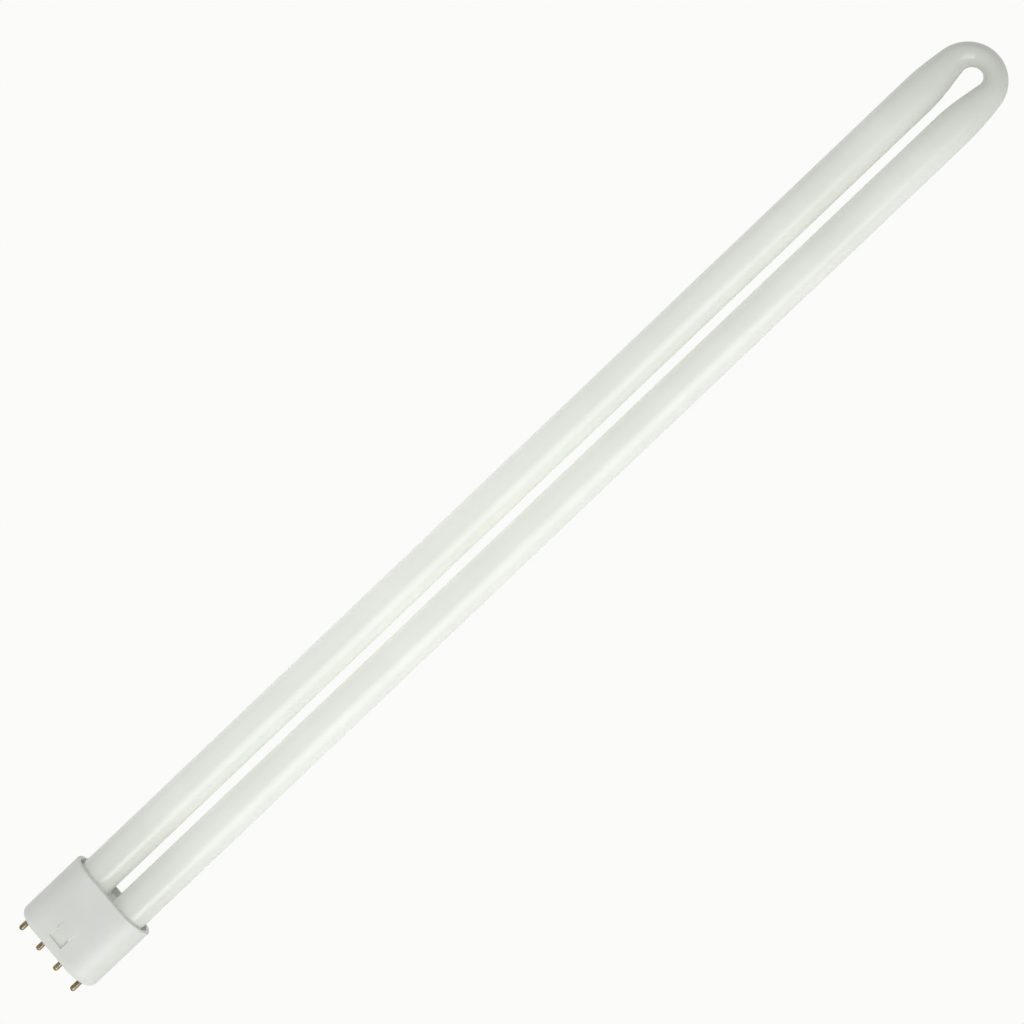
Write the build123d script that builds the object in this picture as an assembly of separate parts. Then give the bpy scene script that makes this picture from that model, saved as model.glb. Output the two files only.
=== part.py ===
from build123d import *
import math
import os

# Long twin-tube compact fluorescent lamp with a four-pin base, lying on its back.
# +X runs from the pin face to the bend, +Y across the two legs, +Z out of the front face.
# The origin is the centre of the pin face, on the lamp's axis. All sizes are in millimetres.

# Lamp
overall_length = 530.6

# Glass tube
tube_diameter = 16.0
leg_gap = 4.1
glass_wall = 0.9
leg_end_wall = 1.6
leg_end_radius = 3.0
exhaust_tip_diameter = 3.2
exhaust_tip_length = 3.0

# Bend of the tube, where the glass necks in
neck_width = 9.1
neck_depth = 12.4
neck_run = 19.5
bend_flare = 0.35
neck_lead_in = 4.0
neck_steps = 6
bend_steps = 8

# Base housing
base_height = 32.6
cup_gap = 1.6
cup_wall = 1.8
floor_thickness = 2.6
pin_edge_radius = 3.0
rim_edge_radius = 0.5
floor_corner_radius = 0.8

# Latch on each broad side: a pocket, and a raised ramp on its side towards the tubes
latch_width = 7.4
pocket_start = 4.7
pocket_length = 4.3
pocket_depth = 0.9
ramp_rise = 0.4
ramp_length = 5.0

# Contact pins
pin_pitch = 11.0
pin_count = 4
pin_diameter = 2.35
pin_length = 6.2
pin_tip_flat = 0.35
pin_tip_wall = 1.0
pin_shoulder = 0.22
pin_flange_ledge = 0.7
pin_flange_thickness = 0.8
pin_sleeve_length = 2.4
boss_margin = 0.5
boss_height = 1.0
boss_side_gap = 0.5

# Lead wires
lead_diameter = 0.6
lead_clearance = 0.25
lead_spread = 6.4
lead_bend_radius = 1.2
lead_straight = 1.0
lead_room = 5.6

# Cement
rim_recess = 2.6
cement_depth = 11.0

# Worked out from the sizes above
leg_spacing = tube_diameter + leg_gap
pin_tip_radius = (pin_diameter - pin_tip_flat) / 2
pin_shank_diameter = pin_diameter + 2 * pin_shoulder
pin_flange_diameter = pin_shank_diameter + 2 * pin_flange_ledge
pin_bore = lead_diameter + 2 * lead_clearance
boss_diameter = pin_flange_diameter + 2 * boss_margin
pin_row_half = pin_pitch * (pin_count - 1) / 2
leg_room = tube_diameter / 2 + cup_gap + cup_wall
pin_room = boss_diameter / 2 + boss_side_gap + cup_wall
base_width = 2 * max(leg_spacing / 2 + leg_room, pin_row_half + pin_room)
base_thickness = 2 * leg_room
pocket_end = pocket_start + pocket_length
flange_seat = floor_thickness + boss_height
sleeve_end = flange_seat + pin_flange_thickness + pin_sleeve_length
leg_end = sleeve_end + lead_room
bend_tip = overall_length - pin_length
bend_radius = leg_spacing / 2 + bend_flare
bend_centre = bend_tip - neck_width / 2 - bend_radius
neck_start = bend_centre - neck_run
loft_start = neck_start - neck_lead_in
neck_path = neck_run + bend_radius * math.pi / 2
pin_rows = [pin_pitch * i - pin_row_half for i in range(pin_count)]


def rod(radius, start, end, across=0.0):
    """A round bar along X from start to end, its axis at y = across."""
    return extrude(Plane(origin=(start, across, 0), z_dir=(1, 0, 0)) * Circle(radius), end - start)


def oblong(start, end, inset):
    """A bar along X of the base's rounded-oblong section, pulled in by inset all round."""
    section = SlotOverall(base_width - 2 * inset, base_thickness - 2 * inset)
    return extrude(Plane.YZ.offset(start) * section, end - start)


def eased(share):
    """0 to 1 with level ends, as half a cosine wave."""
    return (1 - math.cos(math.pi * share)) / 2


def neck_section(path, turn, inset):
    """The tube's oval at a distance along the neck; turn is the angle round the bend, from 0 to pi."""
    share = eased(min(max(path / neck_path, 0), 1))
    half_width = (tube_diameter - (tube_diameter - neck_width) * share) / 2 - inset
    half_depth = (tube_diameter - (tube_diameter - neck_depth) * share) / 2 - inset
    straight = min(path, neck_run)
    off_axis = leg_spacing / 2 + bend_flare * eased(max(straight, 0) / neck_run)
    outward = Vector(math.sin(turn), math.cos(turn), 0)
    along = Vector(math.cos(turn), -math.sin(turn), 0)
    centre = Vector(neck_start + straight, 0, 0) + outward * off_axis
    return Plane(origin=centre, x_dir=outward, z_dir=along) * Ellipse(half_width, half_depth)


def bend(inset):
    """The necked U-bend as one loft, from one straight leg round to the other."""
    runs = [-neck_lead_in, -neck_lead_in / 2] + [neck_run * i / neck_steps for i in range(neck_steps)]
    turns = [math.pi * i / bend_steps for i in range(bend_steps + 1)]
    first_leg = [neck_section(run, 0, inset) for run in runs]
    arc = [neck_section(neck_run + bend_radius * min(turn, math.pi - turn), turn, inset) for turn in turns]
    second_leg = [neck_section(run, math.pi, inset) for run in reversed(runs)]
    return loft(first_leg + arc + second_leg)


def discharge_tube():
    """The sealed U of glass: two straight legs, the necked bend, rounded sealed ends with exhaust tips."""
    glass = bend(0)
    hollow = bend(glass_wall)
    for side in (-1, 1):
        across = side * leg_spacing / 2
        leg = rod(tube_diameter / 2, leg_end, loft_start, across)
        leg = fillet(leg.faces().sort_by(Axis.X)[0].edges(), leg_end_radius)
        tip = rod(exhaust_tip_diameter / 2, leg_end - exhaust_tip_length, leg_end, across)
        tip = fillet(tip.faces().sort_by(Axis.X)[0].edges(), exhaust_tip_diameter / 4)
        room = rod(tube_diameter / 2 - glass_wall, leg_end + leg_end_wall, loft_start, across)
        room = fillet(room.faces().sort_by(Axis.X)[0].edges(), leg_end_radius - glass_wall)
        glass += leg + tip
        hollow += room
    return glass - hollow


def latch_bar(corners):
    """A bar across the latch's width, on the outline with these corners in x and z."""
    outline = Polyline([(x, 0, z) for x, z in corners], close=True)
    return extrude(make_face(outline), latch_width / 2, dir=(0, 1, 0), both=True)


def latch_pocket(side):
    """The cut of one latch pocket, flat-floored, from just clear of the ramp's crest down to its floor."""
    floor = side * (base_thickness / 2 - pocket_depth)
    clear = side * (base_thickness / 2 + ramp_rise)
    return latch_bar([(pocket_start, clear), (pocket_start, floor), (pocket_end, floor), (pocket_end, clear)])


def latch_ramp(side):
    """One raised ramp: highest at the pocket's edge, running out into the broad side towards the tubes."""
    root = side * (base_thickness / 2 - cup_wall / 2)
    face = side * base_thickness / 2
    crest = side * (base_thickness / 2 + ramp_rise)
    run_out = pocket_end + ramp_length
    return latch_bar([(pocket_end, root), (pocket_end, crest), (run_out, face), (run_out, root)])


def base_housing():
    """The moulded cup: pin face with bosses inside, thin rim round the legs, a latch front and back."""
    cup = oblong(0, base_height, 0)
    cup = fillet(cup.faces().sort_by(Axis.X)[0].edges(), pin_edge_radius)
    cup = fillet(cup.faces().sort_by(Axis.X)[-1].edges(), rim_edge_radius)
    room = oblong(floor_thickness, base_height, cup_wall)
    room = fillet(room.faces().sort_by(Axis.X)[0].edges(), floor_corner_radius)
    cup -= room
    for across in pin_rows:
        cup += rod(boss_diameter / 2, floor_thickness / 2, flange_seat, across)
        cup -= rod(pin_shank_diameter / 2, 0, flange_seat, across)
    for side in (-1, 1):
        cup += latch_ramp(side)
        cup -= latch_pocket(side)
    return cup


def contact_pin(across):
    """A turned pin: rounded tip, shank through the pin face, flange on its boss, hollow sleeve for the lead."""
    pin = rod(pin_diameter / 2, -pin_length, 0, across)
    pin = fillet(pin.faces().sort_by(Axis.X)[0].edges(), pin_tip_radius)
    pin += rod(pin_shank_diameter / 2, 0, flange_seat, across)
    pin += rod(pin_flange_diameter / 2, flange_seat, flange_seat + pin_flange_thickness, across)
    pin += rod(pin_diameter / 2, flange_seat + pin_flange_thickness, sleeve_end, across)
    return pin - rod(pin_bore / 2, pin_tip_wall - pin_length, sleeve_end, across)


def lead_wire(pin_across, leg_across):
    """A lead from the blind end of its pin's bore, across by one slanting run, to the leg's sealed end."""
    route = FilletPolyline(
        (pin_tip_wall - pin_length, pin_across, 0),
        (sleeve_end + lead_straight, pin_across, 0),
        (leg_end - lead_straight, leg_across, 0),
        (leg_end, leg_across, 0),
        radius=lead_bend_radius,
    )
    return sweep(Plane(origin=route @ 0, z_dir=route % 0) * Circle(lead_diameter / 2), path=route)


def base_cement():
    """The cement cast round both legs inside the cup, its top sunk below the rim."""
    top = base_height - rim_recess
    fill = oblong(top - cement_depth, top, cup_wall)
    for side in (-1, 1):
        fill -= rod(tube_diameter / 2, top - cement_depth, top, side * leg_spacing / 2)
    return fill


os.makedirs("parts", exist_ok=True)
export_step(discharge_tube(), "parts/discharge_tube.step")
export_step(base_housing(), "parts/base_housing.step")
export_step(base_cement(), "parts/base_cement.step")
for number, across in enumerate(pin_rows, start=1):
    leg = math.copysign(leg_spacing / 2, across)
    lead = leg + math.copysign(lead_spread / 2, across - leg)
    export_step(contact_pin(across), f"parts/contact_pin_{number}.step")
    export_step(lead_wire(across, lead), f"parts/lead_wire_{number}.step")
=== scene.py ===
import math
from typing import NamedTuple

import bpy
import numpy as np
from bpy.props import FloatProperty, FloatVectorProperty, PointerProperty
from mathutils import Matrix, Vector


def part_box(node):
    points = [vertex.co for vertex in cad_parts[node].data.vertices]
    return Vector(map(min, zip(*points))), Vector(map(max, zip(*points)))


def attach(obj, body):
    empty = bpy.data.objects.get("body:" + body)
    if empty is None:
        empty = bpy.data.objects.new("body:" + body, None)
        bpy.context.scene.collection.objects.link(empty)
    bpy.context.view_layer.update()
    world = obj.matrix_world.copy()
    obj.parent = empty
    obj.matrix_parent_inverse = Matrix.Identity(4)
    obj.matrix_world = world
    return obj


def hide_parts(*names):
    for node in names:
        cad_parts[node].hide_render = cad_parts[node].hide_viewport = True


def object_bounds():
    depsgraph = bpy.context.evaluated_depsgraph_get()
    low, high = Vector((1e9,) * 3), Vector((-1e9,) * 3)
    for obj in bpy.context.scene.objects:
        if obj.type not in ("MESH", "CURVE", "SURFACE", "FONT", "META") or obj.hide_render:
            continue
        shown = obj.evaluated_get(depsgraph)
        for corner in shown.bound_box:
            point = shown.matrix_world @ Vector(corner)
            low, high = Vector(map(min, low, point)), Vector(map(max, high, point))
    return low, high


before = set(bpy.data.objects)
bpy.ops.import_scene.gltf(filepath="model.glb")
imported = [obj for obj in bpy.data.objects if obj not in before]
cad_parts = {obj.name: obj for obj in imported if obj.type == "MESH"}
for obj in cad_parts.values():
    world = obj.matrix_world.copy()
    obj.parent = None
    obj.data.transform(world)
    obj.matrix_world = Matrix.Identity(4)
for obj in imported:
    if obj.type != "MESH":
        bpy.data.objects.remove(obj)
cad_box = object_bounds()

bl_info = {
    "name": "Twin-tube lamp",
    "version": (1, 0, 0),
    "blender": (4, 5, 0),
    "location": "View3D > Sidebar > Lamp",
    "description": "Finished surfaces, materials and studio of a plug-in twin-tube lamp",
    "category": "Object",
}

# The lamp's frame: +X from the pin face to the bend, +Y across the two legs, +Z out of the front face.
# All lengths are in metres; MM turns millimetres into metres.
MM = 0.001

# Points closer than this become one
WELD = 0.001 * MM

# Flat held beside each rounded corner of a profile: its length, and the most of a free run that it takes
HOLD = 0.25 * MM
HOLD_SHARE = 0.4

# Places across a soft edge of the latch, in widths of the edge, and where even spacing starts again
EDGE_SPREAD = np.array([-1.5, -0.5, -0.3, -0.1, 0.1, 0.3, 0.5, 1.5])
EDGE_CLEAR = 3.0

# Base: flat round the cells of the pin face, ledge round each boss, share of a short run that is rounded
CELL_MARGIN = 0.1 * MM
BOSS_LEDGE = 0.04 * MM
SHORT_RUN_SHARE = 0.9

# Poured cement: how far each wave takes to turn by one radian, and how far the slow ones are shifted
SLOW_ACROSS = 1.3 * MM
SLOW_UP = 1.9 * MM
SLOW_SHIFT = 0.7
QUICK_ACROSS = 0.7 * MM
QUICK_UP = 0.9 * MM

# Sockets of the Mix node that belong to its colour mode
MIX_SHARE = 0
MIX_LOW = 6
MIX_HIGH = 7
MIX_COLOUR = 2

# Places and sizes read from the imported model
tube_low, tube_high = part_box("discharge_tube")
_, cup_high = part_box("base_housing")
cement_low, cement_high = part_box("base_cement")
pin_nodes = sorted(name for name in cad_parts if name.startswith("contact_pin_"))
pin_pieces = [node.replace("contact_pin", "turned_pin") for node in pin_nodes]
lead_nodes = sorted(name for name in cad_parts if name.startswith("lead_wire_"))
pin_boxes = [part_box(name) for name in pin_nodes]
pin_places = [(low.y + high.y) / 2 for low, high in pin_boxes]
pin_low, pin_high = pin_boxes[0]
tube_radius = tube_high.z
leg_offset = tube_high.y - tube_radius
cement_radius = cement_high.z
cement_straight = cement_high.y - cement_radius


def length(name, default, description):
    """A length property, shown in the scene's own units."""
    return FloatProperty(name=name, description=description, default=default, unit="LENGTH", precision=5)


def colour(name, default, description):
    """A colour property, as three linear shares."""
    return FloatVectorProperty(
        name=name, description=description, default=default, subtype="COLOR", size=3,
    )


def angle(name, default, description):
    """An angle property, given in degrees."""
    radians = math.radians(default)
    return FloatProperty(name=name, description=description, default=radians, subtype="ANGLE")


def number(name, default, description):
    """A plain number property."""
    return FloatProperty(name=name, description=description, default=default)


def power(name, default, description):
    """A light's power."""
    return FloatProperty(name=name, description=description, default=default, unit="POWER")


class GlassTubeSettings(bpy.types.PropertyGroup):
    """Sizes and colours of the coated glass tube"""

    neck_width: length("Neck width", 9.1 * MM, "Width of the tube at the top of the bend")
    neck_depth: length("Neck depth", 12.4 * MM, "Depth of the tube at the top of the bend")
    neck_run: length("Neck run", 19.5 * MM, "Straight stretch of each leg over which the tube necks in")
    bend_flare: length("Bend flare", 0.35 * MM, "How far each leg's axis swings out before the bend")
    tip_length: length("Exhaust tip length", 3.0 * MM, "Length of the sealed exhaust tip on each leg")
    tip_diameter: length("Exhaust tip diameter", 3.2 * MM, "Diameter of the sealed exhaust tip")
    end_radius: length("End radius", 3.0 * MM, "Rounding of each leg's sealed end")
    thin_coating: colour("Thin coating", (0.86, 0.885, 0.83), "Coating where it lies thin")
    full_coating: colour("Full coating", (0.89, 0.912, 0.857), "Coating where it lies full")
    # The coating colour goes darker next to the base
    base_coating: colour("Base-end coating", (0.765, 0.788, 0.738), "Coating dulled next to the base")
    # Painted shade: the coating colour darkens towards the tip of the bend, standing in for the shade that
    # falls there
    bend_painted_shade: colour("Bend coating", (0.675, 0.694, 0.647), "Coating dulled at the tip of the bend")
    base_reach: length("Base reach", 50.0 * MM, "How far from the base the dulling runs out")
    # Reach of the painted shade at the bend
    bend_shade_reach: length("Bend reach", 54.0 * MM, "How far from the bend's tip the dulling runs out")


class BaseCupSettings(bpy.types.PropertyGroup):
    """Sizes and colours of the moulded base"""

    wall: length("Wall", 1.8 * MM, "Wall of the cup")
    floor: length("Floor", 2.6 * MM, "Thickness of the pin face")
    pin_edge: length("Pin-side edge", 3.0 * MM, "Rounding of the edge round the pin face")
    rim_edge: length("Rim edge", 0.5 * MM, "Rounding of the rim's outer edge")
    rim_lip: length("Rim lip", 0.3 * MM, "Rounding of the rim's inner edge")
    floor_corner: length("Floor corner", 0.4 * MM, "Room for the rounding where wall and floor meet inside")
    boss_diameter: length("Boss diameter", 5.19 * MM, "Boss under each pin's flange")
    boss_height: length("Boss height", 1.0 * MM, "Height of each boss above the floor")
    bore_diameter: length("Bore diameter", 2.79 * MM, "Hole for each pin's shank")
    latch_width: length("Latch width", 7.4 * MM, "Width of the pocket and the ramp")
    pocket_start: length("Pocket start", 4.7 * MM, "Distance of the pocket from the pin face")
    pocket_length: length("Pocket length", 4.3 * MM, "Length of the pocket")
    pocket_depth: length("Pocket depth", 0.9 * MM, "Depth of the pocket below the broad side")
    ramp_rise: length("Ramp rise", 0.4 * MM, "Height of the ramp's crest above the broad side")
    ramp_length: length("Ramp length", 5.0 * MM, "Length over which the ramp runs out")
    latch_edge: length("Latch edge", 0.16 * MM, "Width over which the latch's steep walls rise")
    bore_edge: length("Bore edge", 0.15 * MM, "Rounding of each bore's edge")
    plastic: colour("Plastic", (0.79, 0.81, 0.765), "The moulded plastic")
    plastic_shade: colour("Plastic shade", (0.76, 0.785, 0.74), "The plastic where it is a little duller")


class CementSettings(bpy.types.PropertyGroup):
    """Sizes and colours of the cement round the legs"""

    creep: length("Creep", 0.45 * MM, "How far the cement creeps up the glass and the wall")
    creep_reach: length("Creep reach", 0.7 * MM, "Distance over which the creep runs out")
    unevenness: length("Unevenness", 0.12 * MM, "Waves of the poured surface")
    dark: colour("Dark grain", (0.56, 0.56, 0.52), "Darker grains")
    light: colour("Light grain", (0.86, 0.86, 0.81), "Lighter grains")


class ContactPinSettings(bpy.types.PropertyGroup):
    """Sizes and colours of the turned pins"""

    diameter: length("Diameter", 2.35 * MM, "Diameter of the contact")
    tip_flat: length("Tip flat", 0.35 * MM, "Diameter of the flat left at the rounded tip")
    shank_diameter: length("Shank diameter", 2.79 * MM, "Diameter inside the pin face")
    flange_seat: length("Flange seat", 3.6 * MM, "Where the flange sits on its boss")
    flange_thickness: length("Flange thickness", 0.8 * MM, "Thickness of the flange")
    lead_bore: length("Lead bore", 1.1 * MM, "Blind bore for the lead")
    tip_wall: length("Tip wall", 1.0 * MM, "Brass left between the bore and the tip")
    edge: length("Edge", 0.08 * MM, "Broken edges of the turning")
    brass: colour("Brass", (0.46, 0.375, 0.25), "Clean brass")
    tarnish: colour("Tarnish", (0.175, 0.135, 0.085), "Tarnished brass")


class LeadWireSettings(bpy.types.PropertyGroup):
    """Colours of the drawn lead wires"""

    bright: colour("Bright wire", (0.62, 0.60, 0.57), "Drawn nickel-iron")
    dull: colour("Dull wire", (0.36, 0.34, 0.32), "Wire dulled by heat")


class StageSettings(bpy.types.PropertyGroup):
    """Floor, lights and camera"""

    backdrop: colour("Backdrop", (0.965, 0.965, 0.947), "The pale floor as the camera sees it")
    backdrop_drop: length("Backdrop drop", 1.0 * MM, "How far the backdrop lies below the table")
    table: colour("Table", (0.90, 0.90, 0.89), "The floor as the light meets it, which sends light back up")
    sky: number("Sky", 0.6055, "Strength of the even light from all round")
    sky_colour: colour("Sky colour", (1.0, 1.0, 0.99), "Colour of the even light from all round")
    tube_near: power("Tube near", 0.494, "Soft light on the right of the tubes, over the base")
    tube_far: power("Tube far", 0.31, "Soft light on the right of the tubes, towards the bend")
    tube_left: power("Tube left", 0.179, "Soft light low on the left of the tubes")
    base_right: power("Base right", 0.46, "Soft light on the right of the base")
    base_left: power("Base left", 0.075, "Soft light on the left of the base")
    key: power("Key", 0.6, "Long strip that shines in the glass on the right")
    low_key: power("Low key", 0.6, "Strip that shines in the glass near the base")
    high_key: power("High key", 0.14, "Strip that shines in the glass near the bend")
    wide_key: power("Wide key", 1.53, "Tall dim panel that shines in the glass round the strip")
    aim_along: length("Aim along", 257.2 * MM, "Where the camera aims, along the lamp")
    aim_across: length("Aim across", 0.96 * MM, "Where the camera aims, across the lamp")
    distance: length("Distance", 1022.6 * MM, "Camera distance from its aim")
    tilt: angle("Tilt", 12.7845, "Camera's tilt away from straight above, about the lamp's length")
    lean: angle("Lean", 1.9043, "Camera's lean towards the bend")
    roll: angle("Roll", 43.6087, "Turn of the picture about the line of sight")
    lens: number("Lens", 89.01, "Focal length in millimetres")
    sensor: number("Sensor", 36.0, "Width of the camera's sensor in millimetres")


def grid_patch(points, along=None):
    """A grid of points, rows by columns by three, with a place for each on its own map. Columns run evenly
    from 0 to 1 there, and so do rows, unless their places along are given."""
    rows, columns = points.shape[:2]
    across = np.linspace(0, 1, columns)
    along = np.linspace(0, 1, rows) if along is None else along
    places = np.stack(np.broadcast_arrays(across[None, :], along[:, None]), axis=-1)
    first = np.arange(rows - 1)[:, None] * columns + np.arange(columns - 1)
    quads = np.stack([first, first + 1, first + columns + 1, first + columns], axis=-1)
    return points.reshape(-1, 3), places.reshape(-1, 2), quads.reshape(-1, 4)


def weld(patches):
    """Joins patches into one set of points: those closer than WELD become one, which closes seams and poles.
    Gives the points, the corners of all faces in a row, how many each face has, and each corner's place."""
    counts = np.cumsum([0] + [len(points) for points, _, _ in patches])
    points = np.concatenate([points for points, _, _ in patches])
    places = np.concatenate([places for _, places, _ in patches])
    quads = np.concatenate([quads + start for (_, _, quads), start in zip(patches, counts)])
    keys = np.round(points / WELD).astype(np.int64)
    _, first, welded = np.unique(keys, axis=0, return_index=True, return_inverse=True)
    corners = welded.reshape(-1)[quads]
    kept = corners != np.roll(corners, -1, axis=1)
    whole = kept.sum(axis=1) > 2
    corners, kept, quads = corners[whole], kept[whole], quads[whole]
    return points[first], corners[kept], kept.sum(axis=1), places[quads[kept]]


def add_surface(name, patches, finish):
    """Adds one smooth mesh of the welded patches, in its finish."""
    points, corners, sizes, places = weld(patches)
    mesh = bpy.data.meshes.new(name)
    mesh.vertices.add(len(points))
    mesh.vertices.foreach_set("co", points.astype(np.float32).ravel())
    mesh.loops.add(len(corners))
    mesh.loops.foreach_set("vertex_index", corners.astype(np.int32))
    mesh.polygons.add(len(sizes))
    mesh.polygons.foreach_set("loop_start", (np.cumsum(sizes) - sizes).astype(np.int32))
    mesh.polygons.foreach_set("use_smooth", np.ones(len(sizes), dtype=bool))
    layer = mesh.uv_layers.new(name="surface")
    layer.uv.foreach_set("vector", places.astype(np.float32).ravel())
    mesh.update(calc_edges=True)
    if mesh.validate():
        raise RuntimeError(f"{name} has faults in its mesh")
    mesh.materials.append(finish)
    surface = bpy.data.objects.new(name, mesh)
    bpy.context.scene.collection.objects.link(surface)
    return surface


def add_piece(name, patches, finish, node):
    """Adds one piece of the lamp, riding on the body in place of its node."""
    piece = add_surface(name, patches, finish)
    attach(piece, "root")
    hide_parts(node)


def eased(share):
    """0 to 1 with level ends, as half a cosine wave; outside that range it stays at 0 or 1."""
    return (1 - np.cos(np.pi * np.clip(share, 0, 1))) / 2


def rounded_profile(corners, radii, steps):
    """A profile through its corners in a plane, each inner corner turned by an arc of its own radius. An arc
    swings evenly between its tangent points; a point just before and after it holds the runs flat."""
    corners = np.asarray(corners, dtype=float)
    runs = np.diff(corners, axis=0)
    spans = np.linalg.norm(runs, axis=1)
    ways = runs / spans[:, None]
    turns = np.arccos(np.clip((ways[:-1] * ways[1:]).sum(axis=1), -1, 1))
    reaches = np.asarray(radii) * np.tan(turns / 2)
    free = spans - np.append(0, reaches) - np.append(reaches, 0)
    holds = np.minimum(HOLD, HOLD_SHARE * free)
    parts = [corners[:1]]
    for k, (turn, reach, radius) in enumerate(zip(turns, reaches, radii)):
        start = corners[k + 1] - ways[k] * reach
        end = corners[k + 1] + ways[k + 1] * reach
        inward = ways[k + 1] - ways[k]
        centre = corners[k + 1] + inward / np.linalg.norm(inward) * radius / np.cos(turn / 2)
        swing = np.linspace(0, turn, steps + 1)[:, None]
        arc = (start - centre) * np.sin(turn - swing) + (end - centre) * np.sin(swing)
        before = start - ways[k] * holds[k]
        after = end + ways[k + 1] * holds[k + 1]
        parts += [before[None], centre + arc / np.sin(turn), after[None]]
    parts.append(corners[-1:])
    return np.concatenate(parts)


def turned(profile, across, around):
    """A profile of places along X and radii, turned about the line along X at y = across."""
    swing = np.linspace(0, 2 * np.pi, around + 1)
    along = profile[:, :1]
    side = across + profile[:, 1:] * np.cos(swing)
    up = profile[:, 1:] * np.sin(swing)
    return np.stack(np.broadcast_arrays(along, side, up), axis=-1)


def glass_tube_rows(size, end_steps=10, leg_steps=59, neck_steps=39, bend_steps=60):
    """The tube's path as rows: centre, outward direction, half width and half depth of the oval at each.
    A leg starts at its exhaust tip, widens over its rounded end and runs straight to the neck. From there
    the oval narrows as half a cosine wave up to the top of the bend, and the second leg mirrors the first."""
    bend_radius = leg_offset + size.bend_flare
    neck_start = tube_high.x - size.neck_width / 2 - bend_radius - size.neck_run
    neck_path = size.neck_run + bend_radius * np.pi / 2
    leg_end = tube_low.x + size.tip_length
    tip_radius = size.tip_diameter / 2
    end = rounded_profile(
        [(tube_low.x, 0), (tube_low.x, tip_radius), (leg_end, tip_radius), (leg_end, tube_radius),
         (neck_start, tube_radius)],
        [tip_radius / 2, tip_radius / 4, size.end_radius],
        steps=end_steps,
    )
    legs = np.linspace(end[-2, 0], neck_start, leg_steps + 1)[1:-1]
    end = np.concatenate([end[:-1], np.stack([legs, np.full(len(legs), tube_radius)], axis=-1)])
    runs = np.linspace(0, size.neck_run, neck_steps + 1)[:-1]
    turns = np.linspace(0, np.pi / 2, bend_steps + 1)
    straight = np.concatenate([end[:, 0] - neck_start, runs, np.full(len(turns), size.neck_run)])
    turn = np.concatenate([np.zeros(len(end) + len(runs)), turns])
    radius = np.concatenate([end[:, 1], np.full(len(runs) + len(turns), tube_radius)])
    share = eased((straight + bend_radius * turn) / neck_path)
    half_width = radius - (tube_radius - size.neck_width / 2) * share
    half_depth = radius - (tube_radius - size.neck_depth / 2) * share
    off_axis = leg_offset + size.bend_flare * eased(straight / size.neck_run)
    outward = np.stack([np.sin(turn), np.cos(turn), np.zeros_like(turn)], axis=-1)
    centre = outward * off_axis[:, None]
    centre[:, 0] += neck_start + straight
    mirror = np.array([1.0, -1.0, 1.0])
    both = [np.concatenate([first, first[-2::-1] * mirror]) for first in (centre, outward)]
    return both + [np.concatenate([first, first[-2::-1]]) for first in (half_width, half_depth)]


def glass_tube_patch(size, around=128):
    """Ovals carried along the tube's path: centre + outward * half width * cos + up * half depth * sin."""
    centre, outward, half_width, half_depth = glass_tube_rows(size)
    swing = np.linspace(0, 2 * np.pi, around + 1)
    wide = half_width[:, None] * np.cos(swing)
    points = centre[:, None, :] + outward[:, None, :] * wide[..., None]
    points[..., 2] += half_depth[:, None] * np.sin(swing)
    spans = np.linalg.norm(np.diff(centre, axis=0), axis=1)
    return grid_patch(points, along=np.append(0, np.cumsum(spans)))


def oblong_ring(lines, end_steps=64):
    """The base's rounded oblong, from the front side round to it again: centres, outward directions, and the
    columns where its four stretches meet. Lines are the places across the front, from +Y to -Y."""
    half_turn = np.linspace(np.pi / 2, 3 * np.pi / 2, end_steps + 1)
    swing = np.concatenate([
        np.full(len(lines), np.pi / 2),
        half_turn[1:],
        np.full(len(lines) - 1, 3 * np.pi / 2),
        half_turn[1:] + np.pi,
    ])
    middle = np.concatenate([
        lines,
        np.full(end_steps, lines[-1]),
        lines[-2::-1],
        np.full(end_steps, lines[0]),
    ])
    outward = np.stack([np.cos(swing), np.sin(swing)], axis=-1)
    centre = np.stack([middle, np.zeros_like(middle)], axis=-1)
    seams = np.cumsum([0, len(lines) - 1, end_steps, len(lines) - 1, end_steps])
    return centre, outward, seams


def oblong_rows(profile, ring, radius):
    """Rows round the oblong for a profile of places along X and insets: each point lies at its centre +
    outward * (radius - inset)."""
    centre, outward, _ = ring
    flat = centre + outward * (radius - profile[:, 1])[:, None, None]
    along = np.broadcast_to(profile[:, :1, None], flat.shape[:2] + (1,))
    return np.concatenate([along, flat], axis=-1)


def cell_loops(ring, cuts, radius, inset, strip_steps):
    """The oblong's outline at an inset, cut by straight strips from front to back into one closed loop per
    cell. Cuts are the front side's columns where a strip goes down to the same place on the back side."""
    centre, outward, seams = ring
    outline = centre + outward * (radius - inset)
    share = np.linspace(0, 1, strip_steps + 1)[:, None]

    def strip(cut):
        return outline[cut] + (outline[seams[3] - cut] - outline[cut]) * share

    loops = []
    for start, end in zip([None] + cuts, cuts + [None]):
        front = outline[0 if start is None else start:(seams[1] if end is None else end) + 1]
        turn = outline[seams[1]:seams[2] + 1] if end is None else strip(end)
        back_start = seams[2] if end is None else seams[3] - end
        back_end = seams[3] if start is None else seams[3] - start
        home = outline[seams[3]:] if start is None else strip(start)[::-1]
        loops.append(np.concatenate([front, turn[1:], outline[back_start + 1:back_end + 1], home[1:]]))
    return loops


def loop_row(loop, along):
    """One closed loop across the lamp, set at its place or places along X."""
    return np.column_stack([np.broadcast_to(along, len(loop)), loop])


def circle_rows(loop, across, profile):
    """Circles about the line along X at y = across, a row for each place and radius of the profile. A
    circle's points lie straight inwards of the loop's points, so rows and loop join without a twist."""
    ways = loop - np.array([across, 0.0])
    ways /= np.linalg.norm(ways, axis=1)[:, None]
    flat = ways * profile[:, 1][:, None, None]
    flat[..., 0] += across
    along = np.broadcast_to(profile[:, :1, None], flat.shape[:2] + (1,))
    return np.concatenate([along, flat], axis=-1)


def soft_step(distance, width):
    """0 to 1 across an edge of the given width, level at both ends."""
    return eased(distance / width + 0.5)


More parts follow.
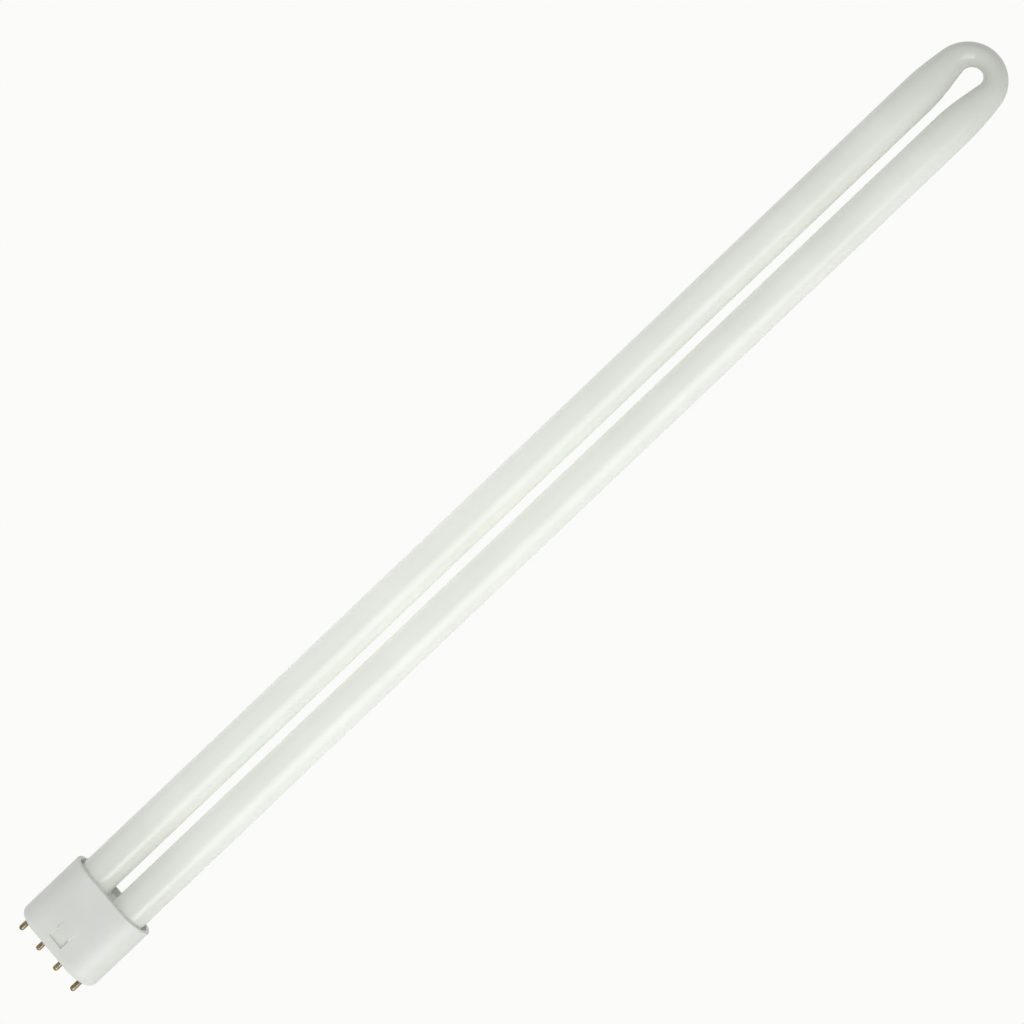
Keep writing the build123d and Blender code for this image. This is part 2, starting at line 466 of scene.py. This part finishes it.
def latch_height(size, along, across):
    """Height of the latch over the broad side: a flat pocket, then a ramp that falls evenly from its crest,
    both bounded by soft steps."""
    edge = size.latch_edge
    pocket_end = size.pocket_start + size.pocket_length
    inside = soft_step(size.latch_width / 2 - np.abs(across), edge)
    pocket = soft_step(along - size.pocket_start, edge) * soft_step(pocket_end - along, edge)
    fall = np.clip((pocket_end + size.ramp_length - along) / size.ramp_length, 0, 1)
    ramp = fall * soft_step(along - pocket_end, edge)
    return inside * (size.ramp_rise * ramp - size.pocket_depth * pocket)


def cup_front_lines(size, straight, latch_steps=8, side_steps=8):
    """Places across half of the front, from the middle to the end of the straight stretch, evenly spaced but
    close together over the latch's edge."""
    half = size.latch_width / 2
    clear = EDGE_CLEAR * size.latch_edge
    return np.concatenate([
        np.linspace(0, half - clear, latch_steps + 1),
        half + EDGE_SPREAD * size.latch_edge,
        np.linspace(half + clear, straight, side_steps + 1),
    ])


def cup_wall_places(size, start, end, start_steps=4, pocket_steps=8, ramp_steps=11, end_steps=15):
    """Places along the outer wall between its start and its end, evenly spaced but close together over the
    pocket's two edges."""
    edge = EDGE_SPREAD * size.latch_edge
    clear = EDGE_CLEAR * size.latch_edge
    pocket_end = size.pocket_start + size.pocket_length
    run_out = pocket_end + size.ramp_length
    return np.concatenate([
        np.linspace(start, size.pocket_start - clear, start_steps + 1)[1:],
        size.pocket_start + edge,
        np.linspace(size.pocket_start + clear, pocket_end - clear, pocket_steps + 1),
        pocket_end + edge,
        np.linspace(pocket_end + clear, run_out, ramp_steps + 1),
        np.linspace(run_out, end, end_steps + 1)[1:-1],
    ])


def pin_bore_profile(size):
    """Places along X and radii of one pin's hole: from the floor inside up its boss, over the boss's top and
    down the bore to the pin face, each corner rounded by an arc."""
    boss = size.boss_diameter / 2
    bore = size.bore_diameter / 2
    boss_top = size.floor + size.boss_height
    face_run = 2 * size.bore_edge
    corners = [
        (size.floor, boss + BOSS_LEDGE), (size.floor, boss), (boss_top, boss), (boss_top, bore),
        (0, bore), (0, bore + face_run),
    ]
    radii = [BOSS_LEDGE / 2, size.bore_edge, size.bore_edge / 2, size.bore_edge]
    return rounded_profile(corners, radii, steps=4)


def base_cup_patches(size, strip_steps=12):
    """The moulded cup as one closed skin: a profile of insets carried round the oblong, from the pin face
    over the outer wall and the rim to the floor inside, with the latch's height added to both broad sides,
    and four cells that close both faces round the pins' bores."""
    radius = cup_high.z - size.ramp_rise
    half_front = cup_front_lines(size, cup_high.y - radius)
    ring = oblong_ring(np.concatenate([half_front[::-1], -half_front[1:]]))
    pin_inset = size.pin_edge + CELL_MARGIN
    floor_inset = size.wall + size.floor_corner
    rim_run = 2 * size.rim_edge
    wall_start = size.pin_edge + EDGE_CLEAR * size.latch_edge
    wall_end = cup_high.x - rim_run
    pin_edge = rounded_profile([(0, pin_inset), (0, 0), (wall_start, 0)], [size.pin_edge], steps=16)
    wall = cup_wall_places(size, wall_start, wall_end)
    rim = rounded_profile(
        [(wall_end, 0), (cup_high.x, 0), (cup_high.x, size.wall), (size.floor, size.wall),
         (size.floor, floor_inset)],
        [size.rim_edge, size.rim_lip, size.floor_corner * SHORT_RUN_SHARE],
        steps=8,
    )
    profile = np.concatenate([pin_edge, np.stack([wall, np.zeros_like(wall)], axis=-1), rim])
    skin = oblong_rows(profile, ring, radius)
    outer = skin[len(pin_edge):len(pin_edge) + len(wall)]
    outer[..., 2] += np.sign(outer[..., 2]) * latch_height(size, outer[..., 0], outer[..., 1])
    bore_profile = pin_bore_profile(size)
    cuts = [0, len(half_front) - 1, int(ring[2][1])]
    floor_loops = cell_loops(ring, cuts, radius, floor_inset, strip_steps)
    pin_loops = cell_loops(ring, cuts, radius, pin_inset, strip_steps)
    patches = [grid_patch(skin)]
    for place, floor_loop, pin_loop in zip(sorted(pin_places, reverse=True), floor_loops, pin_loops):
        bores = circle_rows(pin_loop, place, bore_profile)
        rows = [loop_row(floor_loop, size.floor)[None], bores, loop_row(pin_loop, 0.0)[None]]
        patches.append(grid_patch(np.concatenate(rows)))
    return patches


def cement_height(size, flat):
    """How far the poured surface stands above its level: it creeps up the glass and the wall, falling off
    with distance as an exponential, and has slow and quick waves, as sines."""
    across, up = flat[..., 0], flat[..., 1]
    to_leg = np.abs(np.hypot(np.abs(across) - leg_offset, up) - tube_radius)
    beyond = np.maximum(np.abs(across) - cement_straight, 0)
    to_wall = np.abs(cement_radius - np.hypot(beyond, up))
    creep = np.exp(-to_leg / size.creep_reach) + np.exp(-to_wall / size.creep_reach)
    slow = np.sin(across / SLOW_ACROSS + SLOW_SHIFT) * np.sin(up / SLOW_UP)
    quick = np.sin(across / QUICK_ACROSS + up / QUICK_UP)
    return size.creep * (creep - 1) + size.unevenness * (slow + quick) / 2


def cement_patches(size, line_steps=48, strip_steps=48, inward_steps=16):
    """The cement as one closed skin: its wall round the oblong, and for each leg a cell whose rows run in
    over the poured surface from the outline to the leg, down the leg and back out along the underside."""
    ring = oblong_ring(np.linspace(cement_straight, -cement_straight, line_steps + 1))
    centre, outward, _ = ring
    outline = centre + outward * cement_radius
    top = cement_high.x
    bottom = cement_low.x
    wall = [loop_row(outline, bottom), loop_row(outline, top + cement_height(size, outline))]
    patches = [grid_patch(np.stack(wall))]
    share = eased(np.linspace(0, 1, inward_steps + 1))[:, None, None]
    loops = cell_loops(ring, [line_steps // 2], cement_radius, 0.0, strip_steps)
    for side, loop in zip((1, -1), loops):
        leg = circle_rows(loop, side * leg_offset, np.array([[0.0, tube_radius]]))[0, :, 1:]
        flat = loop + (leg - loop) * share
        over = np.concatenate([(top + cement_height(size, flat))[..., None], flat], axis=-1)
        under = np.stack([loop_row(leg, bottom), loop_row(loop, bottom)])
        patches.append(grid_patch(np.concatenate([over, under])))
    return patches


def contact_pin_patch(size, across, around=64):
    """One pin, turned from a profile: rounded tip, shank, flange, sleeve, and the blind bore for its lead."""
    contact = size.diameter / 2
    shank = size.shank_diameter / 2
    flange = pin_high.y - pin_places[0]
    bore = size.lead_bore / 2
    flange_end = size.flange_seat + size.flange_thickness
    tip = pin_low.x
    bore_end = tip + size.tip_wall
    corners = [
        (tip, 0), (tip, contact), (0, contact), (0, shank), (size.flange_seat, shank),
        (size.flange_seat, flange), (flange_end, flange), (flange_end, contact),
        (pin_high.x, contact), (pin_high.x, bore), (bore_end, bore), (bore_end, 0),
    ]
    radii = np.full(len(corners) - 2, size.edge)
    radii[0] = contact - size.tip_flat / 2
    return grid_patch(turned(rounded_profile(corners, radii, steps=8), across, around))


def add_node(tree, kind, sockets, **options):
    """A material's node, with its options and its sockets: a socket takes a value or links to an output."""
    node = tree.nodes.new(kind)
    for option, value in options.items():
        setattr(node, option, value)
    for socket, value in sockets.items():
        if isinstance(value, bpy.types.NodeSocket):
            tree.links.new(value, node.inputs[socket])
        else:
            node.inputs[socket].default_value = value
    return node


def start_finish(name):
    """A new material with an empty node tree."""
    finish = bpy.data.materials.new(name)
    finish.use_nodes = True
    finish.node_tree.nodes.clear()
    return finish, finish.node_tree


def lamp_place(tree):
    """The place of each surface point in the lamp's frame."""
    return add_node(tree, "ShaderNodeTexCoord", {}).outputs["Object"]


def noise(tree, place, scale, detail=3.0, stretch=(1.0, 1.0, 1.0)):
    """Cloudy noise with so many patches to the metre, their number along X, Y and Z multiplied by stretch."""
    sockets = {"Vector": place, "Scale": [scale * share for share in stretch]}
    mapped = add_node(tree, "ShaderNodeMapping", sockets).outputs["Vector"]
    sockets = {"Vector": mapped, "Scale": 1.0, "Detail": detail}
    return add_node(tree, "ShaderNodeTexNoise", sockets).outputs["Fac"]


def between(tree, share, low, high, start=0.35, end=0.65):
    """A colour that goes from low to high as the share rises from start to end."""
    ramp = add_node(tree, "ShaderNodeValToRGB", {"Fac": share})
    for stop, place, tint in zip(ramp.color_ramp.elements, (start, end), (low, high)):
        stop.position = place
        stop.color = (*tint, 1.0)
    return ramp.outputs["Color"]


def ranged(tree, share, low, high, start=0.3, end=0.7):
    """A number that goes from low to high as the share rises from start to end, a noise's usual range."""
    sockets = {"Value": share, "From Min": start, "From Max": end, "To Min": low, "To Max": high}
    return add_node(tree, "ShaderNodeMapRange", sockets).outputs["Result"]


# Used for a darker coating colour towards the base and for painted shade towards the bend
def faded(tree, along, start, end, undarkened, darkened):
    """A colour that goes from clean to dulled along the lamp, between two places on it."""
    sockets = {"Value": along, "From Min": start, "From Max": end}
    share = add_node(tree, "ShaderNodeMapRange", sockets).outputs["Result"]
    sockets = {MIX_SHARE: share, MIX_LOW: undarkened, MIX_HIGH: (*darkened, 1.0)}
    return add_node(tree, "ShaderNodeMix", sockets, data_type="RGBA").outputs[MIX_COLOUR]


def bump(tree, height, strength, depth, over=None):
    """Bump of a height field, laid over another bump if one is given: its strength, and the depth in metres
    that a height of one stands for."""
    sockets = {"Height": height, "Strength": strength, "Distance": depth}
    if over is not None:
        sockets["Normal"] = over
    return add_node(tree, "ShaderNodeBump", sockets).outputs["Normal"]


def end_finish(tree, sockets):
    """Closes a material with its shader."""
    shader = add_node(tree, "ShaderNodeBsdfPrincipled", sockets)
    add_node(tree, "ShaderNodeOutputMaterial", {"Surface": shader.outputs["BSDF"]})


def coated_glass(settings):
    """Clear glass over a white powder coating: cloudy coating, darker towards the base, with painted shade
    towards the bend, and glass drawn out in faint ripples along the tube."""
    finish, tree = start_finish("coated_glass_finish")
    place = lamp_place(tree)
    along = add_node(tree, "ShaderNodeSeparateXYZ", {"Vector": place}).outputs["X"]
    coating = between(tree, noise(tree, place, scale=45.0), settings.thin_coating, settings.full_coating)
    base_fade = cup_high.x + settings.base_reach
    bend_shade_start = tube_high.x - settings.bend_shade_reach
    # The coating colour goes darker over the last stretch towards the base
    coating = faded(tree, along, base_fade, cup_high.x, coating, settings.base_coating)
    # Painted shade: the coating colour darkens towards the tip of the bend, in place of the shade there
    coating = faded(tree, along, bend_shade_start, tube_high.x, coating, settings.bend_painted_shade)
    ripple = noise(tree, place, scale=90.0, detail=2.0, stretch=(0.08, 1.0, 1.0))
    end_finish(tree, {
        "Base Color": coating,
        "Roughness": ranged(tree, noise(tree, place, scale=900.0), low=0.55, high=0.65),
        "Specular IOR Level": 0.0,
        "Coat Weight": 1.0,
        "Coat Roughness": 0.14,
        "Coat IOR": 1.5,
        "Coat Normal": bump(tree, ripple, strength=0.07, depth=0.12 * MM),
    })
    return finish


def moulded_plastic(settings):
    """Satin moulded plastic: fine grain of the mould, slow waviness and a faint drift of colour."""
    finish, tree = start_finish("moulded_plastic_finish")
    place = lamp_place(tree)
    drift = noise(tree, place, scale=70.0)
    waves = bump(tree, noise(tree, place, scale=160.0, detail=1.0), strength=0.15, depth=0.1 * MM)
    grain = noise(tree, place, scale=5200.0, detail=2.0)
    end_finish(tree, {
        "Base Color": between(tree, drift, settings.plastic_shade, settings.plastic),
        "Roughness": ranged(tree, noise(tree, place, scale=420.0), low=0.38, high=0.48),
        "IOR": 1.49,
        "Normal": bump(tree, grain, strength=0.12, depth=0.03 * MM, over=waves),
    })
    return finish


def poured_cement(settings):
    """Grainy set cement: fine light and dark grains, pitted."""
    finish, tree = start_finish("poured_cement_finish")
    grains = noise(tree, lamp_place(tree), scale=1600.0, detail=6.0)
    end_finish(tree, {
        "Base Color": between(tree, grains, settings.dark, settings.light),
        "Roughness": 0.92,
        "Normal": bump(tree, grains, strength=0.7, depth=0.2 * MM),
    })
    return finish


def tarnished_brass(settings):
    """Turned brass with fine rings across the pin, dulled in patches."""
    finish, tree = start_finish("tarnished_brass_finish")
    place = lamp_place(tree)
    patches = noise(tree, place, scale=700.0, detail=4.0)
    sockets = {"Vector": place, "Scale": 1400.0, "Distortion": 0.6, "Detail": 1.0}
    rings = add_node(tree, "ShaderNodeTexWave", sockets).outputs["Fac"]
    end_finish(tree, {
        "Base Color": between(tree, patches, settings.tarnish, settings.brass),
        "Metallic": 1.0,
        "Roughness": ranged(tree, patches, low=0.38, high=0.22),
        "Normal": bump(tree, rings, strength=0.12, depth=0.02 * MM),
    })
    return finish


def drawn_wire(settings):
    """Drawn nickel-iron wire with streaks along it, dulled by heat."""
    finish, tree = start_finish("drawn_wire_finish")
    streaks = noise(tree, lamp_place(tree), scale=3000.0, detail=2.0, stretch=(0.05, 1.0, 1.0))
    end_finish(tree, {
        "Base Color": between(tree, streaks, settings.dull, settings.bright),
        "Metallic": 1.0,
        "Roughness": ranged(tree, streaks, low=0.45, high=0.3),
        "Normal": bump(tree, streaks, strength=0.2, depth=0.02 * MM),
    })
    return finish


def pale_backdrop(stage):
    """The floor as the camera sees it: an even pale white."""
    finish, tree = start_finish("pale_backdrop_finish")
    glow = add_node(tree, "ShaderNodeEmission", {"Color": (*stage.backdrop, 1.0)})
    add_node(tree, "ShaderNodeOutputMaterial", {"Surface": glow.outputs["Emission"]})
    return finish


def pale_table(stage):
    """The floor as the light meets it: matte and pale."""
    finish, tree = start_finish("pale_table_finish")
    end_finish(tree, {
        "Base Color": (*stage.table, 1.0),
        "Roughness": 1.0,
        "Specular IOR Level": 0.0,
    })
    return finish


def floor_patch(centre, level, inner=0.1, flat=3.0, outer=12.0, rise=0.06, rings=40, around=96):
    """A round floor that curves up past its flat: height = level + rise * the square of the distance past it.
    The rings lie closer together towards the centre, from the inner one to the outer one."""
    reach = np.append(0, np.geomspace(inner, outer, rings))[:, None]
    swing = np.linspace(0, 2 * np.pi, around + 1)
    height = level + rise * np.maximum(reach - flat, 0) ** 2
    places = [centre.x + reach * np.cos(swing), centre.y + reach * np.sin(swing), height]
    return grid_patch(np.stack(np.broadcast_arrays(*places), axis=-1))


def add_floor(name, centre, level, finish):
    """Adds a round floor at a level, as part of the stage."""
    floor = add_surface(name, [floor_patch(centre, level)], finish)
    return floor


def add_floors(stage):
    """Adds the floor as two sheets: the table, which the light meets, and the backdrop, which the camera
    sees."""
    low, high = cad_box
    centre = (low + high) / 2
    table = add_floor("table", centre, low.z, pale_table(stage))
    table.visible_camera = False
    backdrop = add_floor("backdrop", centre, low.z - stage.backdrop_drop, pale_backdrop(stage))
    backdrop.visible_diffuse = False
    backdrop.visible_glossy = False
    backdrop.visible_shadow = False


def square_to(back):
    """The two directions square to a line of sight: along the lamp, and across it."""
    along = (Vector((1, 0, 0)) - back * back.x).normalized()
    return along, back.cross(along)


def stance(place, right, up, back):
    """The matrix of a light or camera at a place, with these directions to its right, up and behind it."""
    return Matrix.Translation(place) @ Matrix((right, up, back)).transposed().to_4x4()


class Softbox(NamedTuple):
    """A rectangular soft light: the place along the lamp that it faces, its own place as seen from there, its
    width along the lamp and its depth. Its power is the stage setting of the same name."""

    name: str
    aim: float
    away: tuple
    width: float
    depth: float


# Places along the lamp that the lights face
MID_BASE = 0.01
NEAR_TUBE = 0.10
MID_TUBE = 0.195
FAR_TUBE = 0.40

# Lights for the coating, lights for the base and its pins, and lights that only shine in the surfaces
tube_boxes = [
    Softbox("tube_near", NEAR_TUBE, away=(-0.02, -0.30, 0.31), width=0.20, depth=0.20),
    Softbox("tube_far", FAR_TUBE, away=(0.02, -0.30, 0.26), width=0.20, depth=0.20),
    Softbox("tube_left", MID_TUBE, away=(0.02, 0.24, 0.075), width=0.20, depth=0.10),
]
base_boxes = [
    Softbox("base_right", MID_BASE, away=(-0.12, -0.25, 0.25), width=0.20, depth=0.20),
    Softbox("base_left", MID_BASE, away=(-0.12, 0.22, 0.12), width=0.20, depth=0.10),
]
shine_boxes = [
    Softbox("key", MID_TUBE, away=(-0.04, -0.594, 0.371), width=0.82, depth=0.30),
    Softbox("low_key", MID_TUBE, away=(-0.415, -0.594, 0.371), width=0.24, depth=0.34),
    Softbox("high_key", MID_TUBE, away=(0.365, -0.594, 0.371), width=0.24, depth=0.34),
    Softbox("wide_key", MID_TUBE, away=(-0.005, -0.503, 0.327), width=0.52, depth=0.70),
]


def light_group(name, pieces):
    """A collection of these pieces for the lights, apart from the scene's own."""
    group = bpy.data.collections.new(name)
    for piece in pieces:
        group.objects.link(bpy.data.objects[piece])
    return group


def add_softbox(box, watts, matte=True, shine=True, lit=None, blockers=None):
    """Adds a soft light that the camera doesn't see. It lights matte surfaces, shines in glossy ones, or
    both. Where lit is given, it lights only those pieces; where blockers are, only they cast its shadows."""
    name = f"{box.name}_softbox"
    light = bpy.data.lights.new(name, "AREA")
    light.shape = "RECTANGLE"
    light.size = box.width
    light.size_y = box.depth
    light.energy = watts
    lamp = bpy.data.objects.new(name, light)
    away = Vector(box.away)
    back = away.normalized()
    along, across = square_to(back)
    lamp.matrix_world = stance(Vector((box.aim, 0, 0)) + away, along, across, back)
    lamp.visible_camera = False
    lamp.visible_diffuse = matte
    lamp.visible_glossy = shine
    lamp.light_linking.receiver_collection = lit
    lamp.light_linking.blocker_collection = blockers
    bpy.context.scene.collection.objects.link(lamp)


def add_lights(stage):
    """Adds the soft lights. Those for the coating also reach the cement and the table, and only the pieces
    of the base cast their shadows, because the coating lets light through and spreads it."""
    tube_pieces = light_group("tube_pieces", ["glass_tube", "leg_cement", "table"])
    base_pieces = light_group("base_pieces", ["base_cup", "leg_cement"] + lead_nodes + pin_pieces)
    for box in tube_boxes:
        watts = getattr(stage, box.name)
        add_softbox(box, watts, shine=False, lit=tube_pieces, blockers=base_pieces)
    for box in base_boxes:
        add_softbox(box, getattr(stage, box.name), shine=False, lit=base_pieces)
    for box in shine_boxes:
        add_softbox(box, getattr(stage, box.name), matte=False)


def add_sky(stage):
    """Adds the even light from all round."""
    world = bpy.data.worlds.new("studio")
    world.use_nodes = True
    sky = world.node_tree.nodes["Background"].inputs
    sky["Strength"].default_value = stage.sky
    sky["Color"].default_value = (*stage.sky_colour, 1.0)
    bpy.context.scene.world = world


def add_camera(stage):
    """Adds the camera: back from its aim, tilted about the lamp's length, leant towards the bend, and rolled
    in the picture."""
    camera = bpy.data.objects.new("photo_camera", bpy.data.cameras.new("photo_camera"))
    camera.data.sensor_width = stage.sensor
    camera.data.lens = stage.lens
    back = Vector((
        math.sin(stage.lean),
        -math.sin(stage.tilt) * math.cos(stage.lean),
        math.cos(stage.tilt) * math.cos(stage.lean),
    ))
    along, across = square_to(back)
    right = along * math.cos(stage.roll) - across * math.sin(stage.roll)
    up = along * math.sin(stage.roll) + across * math.cos(stage.roll)
    aim = Vector((stage.aim_along, stage.aim_across, 0))
    camera.matrix_world = stance(aim + back * stage.distance, right, up, back)
    bpy.context.scene.collection.objects.link(camera)
    bpy.context.scene.camera = camera


class LAMP_OT_glass_tube(bpy.types.Operator):
    """Makes the coated glass tube, bent into a U and sealed at both ends"""

    bl_idname = "lamp.glass_tube"
    bl_label = "Glass tube"

    def execute(self, context):
        size = context.scene.lamp_glass_tube
        glass = coated_glass(size)
        add_piece("glass_tube", [glass_tube_patch(size)], glass, "discharge_tube")
        return {"FINISHED"}


class LAMP_OT_base_cup(bpy.types.Operator):
    """Makes the moulded base with its latch pockets and ramps"""

    bl_idname = "lamp.base_cup"
    bl_label = "Base cup"

    def execute(self, context):
        size = context.scene.lamp_base_cup
        plastic = moulded_plastic(size)
        add_piece("base_cup", base_cup_patches(size), plastic, "base_housing")
        return {"FINISHED"}


class LAMP_OT_cement(bpy.types.Operator):
    """Makes the cement that holds the legs in the base"""

    bl_idname = "lamp.cement"
    bl_label = "Cement"

    def execute(self, context):
        size = context.scene.lamp_cement
        cement = poured_cement(size)
        add_piece("leg_cement", cement_patches(size), cement, "base_cement")
        return {"FINISHED"}


class LAMP_OT_contact_pins(bpy.types.Operator):
    """Makes the row of turned brass pins"""

    bl_idname = "lamp.contact_pins"
    bl_label = "Contact pins"

    def execute(self, context):
        size = context.scene.lamp_contact_pins
        brass = tarnished_brass(size)
        for name, place, node in zip(pin_pieces, pin_places, pin_nodes):
            add_piece(name, [contact_pin_patch(size, place)], brass, node)
        return {"FINISHED"}


class LAMP_OT_lead_wires(bpy.types.Operator):
    """Gives the lead wires their finish"""

    bl_idname = "lamp.lead_wires"
    bl_label = "Lead wires"

    def execute(self, context):
        wire = drawn_wire(context.scene.lamp_lead_wires)
        for node in lead_nodes:
            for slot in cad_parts[node].material_slots:
                slot.material = wire
        return {"FINISHED"}


class LAMP_OT_stage(bpy.types.Operator):
    """Sets up the floor, the lights and the camera"""

    bl_idname = "lamp.stage"
    bl_label = "Stage"

    def execute(self, context):
        stage = context.scene.lamp_stage
        add_floors(stage)
        add_lights(stage)
        add_sky(stage)
        add_camera(stage)
        context.scene.view_settings.view_transform = "Standard"
        return {"FINISHED"}


class LAMP_PT_sidebar(bpy.types.Panel):
    """The lamp's pieces and stage, with what can be set on each"""

    bl_label = "Twin-tube lamp"
    bl_idname = "LAMP_PT_sidebar"
    bl_space_type = "VIEW_3D"
    bl_region_type = "UI"
    bl_category = "Lamp"

    def draw(self, context):
        for operator, name, group in build_order:
            box = self.layout.box()
            box.operator(operator.bl_idname)
            settings = getattr(context.scene, name)
            for setting in group.__annotations__:
                box.prop(settings, setting)


# Each operator, with the name of its settings on the scene and their group
build_order = [
    (LAMP_OT_glass_tube, "lamp_glass_tube", GlassTubeSettings),
    (LAMP_OT_base_cup, "lamp_base_cup", BaseCupSettings),
    (LAMP_OT_cement, "lamp_cement", CementSettings),
    (LAMP_OT_contact_pins, "lamp_contact_pins", ContactPinSettings),
    (LAMP_OT_lead_wires, "lamp_lead_wires", LeadWireSettings),
    (LAMP_OT_stage, "lamp_stage", StageSettings),
]


def register():
    """Registers the settings, the operators and the panel."""
    for operator, name, group in build_order:
        bpy.utils.register_class(group)
        setattr(bpy.types.Scene, name, PointerProperty(type=group))
        bpy.utils.register_class(operator)
    bpy.utils.register_class(LAMP_PT_sidebar)


def unregister():
    """Removes what register added, in the opposite order."""
    bpy.utils.unregister_class(LAMP_PT_sidebar)
    for operator, name, group in reversed(build_order):
        bpy.utils.unregister_class(operator)
        delattr(bpy.types.Scene, name)
        bpy.utils.unregister_class(group)


def main():
    """Builds every piece and the stage."""
    register()
    bpy.ops.lamp.glass_tube()
    bpy.ops.lamp.base_cup()
    bpy.ops.lamp.cement()
    bpy.ops.lamp.contact_pins()
    bpy.ops.lamp.lead_wires()
    bpy.ops.lamp.stage()


if __name__ == "__main__":
    main()
